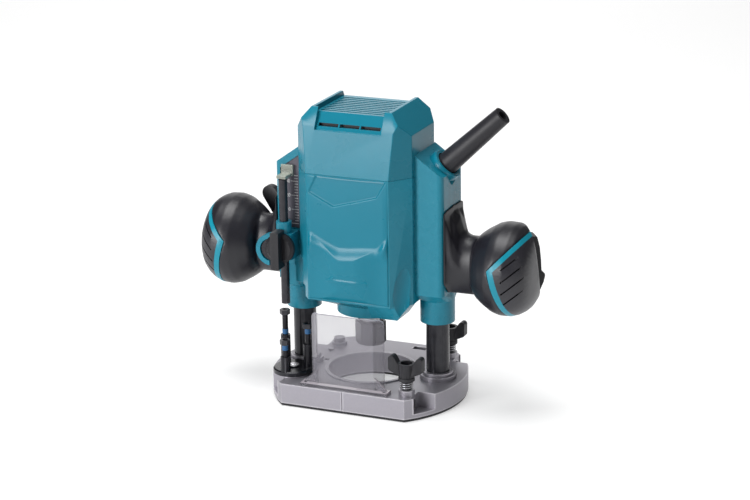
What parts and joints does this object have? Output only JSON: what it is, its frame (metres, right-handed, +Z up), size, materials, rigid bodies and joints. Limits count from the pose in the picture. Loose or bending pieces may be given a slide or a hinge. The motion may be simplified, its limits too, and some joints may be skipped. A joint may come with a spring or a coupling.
{
  "type": "compact plunge router",
  "caption": "Compact plunge router: a teal motor head with knob handles slides on posts above a round cast base with a clear chip guard.",
  "frame": {"origin": "spindle axis at the underside of the sole", "axes": "+Z up along the spindle, +X towards the trigger handle and the cord, the clear guard at -Y"},
  "size_m": [0.2461, 0.1084, 0.2098],
  "materials": {
    "cast_aluminium": "satin cast",
    "black_plastic": "fine texture",
    "black_steel": "blackened, satin",
    "bright_steel": "satin",
    "clear_plastic": "clear, glossy",
    "tinted_plastic": "clear, faintly green",
    "teal_plastic": "semi-gloss, fine texture",
    "teal_accent": "semi-gloss",
    "soft_grip": "matte soft skin",
    "soft_pad": "matte soft skin",
    "grey_plastic": "matte",
    "bronze": "satin",
    "copper": "turned",
    "carbon": "matte",
    "cord_rubber": "matte"
  },
  "bodies": {
    "base": {"base_casting": "cast_aluminium", "sole_plate": "black_plastic", "sole_screws": "bright_steel", "left_post": "black_steel", "right_post": "black_steel", "chip_guard": "clear_plastic", "front_clamp_spring": "bright_steel", "rear_clamp_spring": "bright_steel", "turret_pin": "bright_steel", "left_post_spring": "bright_steel", "right_post_spring": "bright_steel"},
    "head": {"front_housing": "teal_plastic", "rear_housing": "teal_plastic", "top_cover": "teal_plastic", "housing_screws": "bright_steel", "post_bushings": "bronze", "left_grip_front": "soft_grip", "left_grip_rear": "soft_grip", "left_band": "teal_accent", "left_pad": "soft_pad", "right_grip_front": "soft_grip", "right_grip_rear": "soft_grip", "right_band": "teal_accent", "right_pad": "soft_pad", "switch_body": "black_plastic", "scale_plate": "grey_plastic", "stator": "bright_steel", "fan_baffle": "black_plastic", "upper_bracket": "black_plastic", "upper_bearing": "bright_steel", "lower_bearing": "bright_steel", "brush_holders": "bronze", "carbon_brushes": "carbon", "cord_guard": "cord_rubber", "cord_clamp": "black_plastic"},
    "rotor": {"spindle": "bright_steel", "armature_core": "bright_steel", "commutator": "copper", "fan": "black_plastic", "collet": "bright_steel", "collet_nut": "black_steel"},
    "front_clamp": {"front_clamp_screw": "black_plastic"},
    "rear_clamp": {"rear_clamp_screw": "black_plastic"},
    "turret": {"turret": "black_steel"},
    "low_bolt": {"low_stop_bolt": "black_steel"},
    "middle_bolt": {"middle_stop_bolt": "black_steel"},
    "high_bolt": {"high_stop_bolt": "black_steel"},
    "depth_stop": {"depth_rod": "black_steel", "depth_pointer": "tinted_plastic"},
    "rod_clamp": {"rod_clamp_knob": "black_plastic"},
    "plunge_lock": {"lock_shaft": "bright_steel", "lock_lever": "black_plastic", "lock_cap": "black_steel"},
    "trigger": {"trigger": "black_plastic"},
    "lock_button": {"lock_button": "black_plastic"},
    "shaft_lock": {"shaft_lock": "black_plastic"}
  },
  "joints": [
    {"name": "plunge", "type": "slide", "parent": "base", "child": "head", "axis": [0, 0, 1], "range_m": [-0.035, 0], "stiffness_N_per_m": 1400, "springref_m": 0.03, "deforming": ["left_post_spring", "right_post_spring"]},
    {"name": "spindle_spin", "type": "hinge", "parent": "head", "child": "rotor", "pos_m": [0, 0, 0.1], "axis": [0, 0, 1], "continuous": true},
    {"name": "front_clamp_turn", "type": "hinge", "parent": "base", "child": "front_clamp", "pos_m": [0.043, -0.04, 0.02], "axis": [0, 0, 1], "range_deg": [-90, 90]},
    {"name": "rear_clamp_turn", "type": "hinge", "parent": "base", "child": "rear_clamp", "pos_m": [0.043, 0.04, 0.02], "axis": [0, 0, 1], "range_deg": [-90, 90]},
    {"name": "turret_turn", "type": "hinge", "parent": "base", "child": "turret", "pos_m": [-0.0472, -0.0269, 0.017], "axis": [0, 0, 1], "continuous": true},
    {"name": "high_bolt_adjust", "type": "slide", "parent": "turret", "child": "high_bolt", "axis": [0, 0, 1], "range_m": [-0.003, 0.001]},
    {"name": "low_bolt_adjust", "type": "slide", "parent": "turret", "child": "low_bolt", "axis": [0, 0, 1], "range_m": [-0.003, 0.003]},
    {"name": "middle_bolt_adjust", "type": "slide", "parent": "turret", "child": "middle_bolt", "axis": [0, 0, 1], "range_m": [-0.003, 0.003]},
    {"name": "depth_rod_slide", "type": "slide", "parent": "head", "child": "depth_stop", "axis": [0, 0, 1], "range_m": [-0.006, 0.025]},
    {"name": "rod_clamp_turn", "type": "hinge", "parent": "head", "child": "rod_clamp", "pos_m": [-0.0513, -0.033, 0.1079], "axis": [0, -1, 0], "range_deg": [0, 270]},
    {"name": "plunge_lock_turn", "type": "hinge", "parent": "head", "child": "plunge_lock", "pos_m": [-0.065, 0, 0.101], "axis": [0, 1, 0], "range_deg": [0, 40]},
    {"name": "trigger_press", "type": "slide", "parent": "head", "child": "trigger", "axis": [-0.8192, -0.5736, 0], "range_m": [0, 0.004], "stiffness_N_per_m": 900, "springref_m": -0.0005},
    {"name": "lock_button_press", "type": "slide", "parent": "head", "child": "lock_button", "axis": [0, -1, 0], "range_m": [0, 0.0025], "stiffness_N_per_m": 500, "springref_m": -0.0005},
    {"name": "shaft_lock_press", "type": "slide", "parent": "head", "child": "shaft_lock", "axis": [0, -1, 0], "range_m": [0, 0.003], "stiffness_N_per_m": 500, "springref_m": -0.0005}
  ]
}
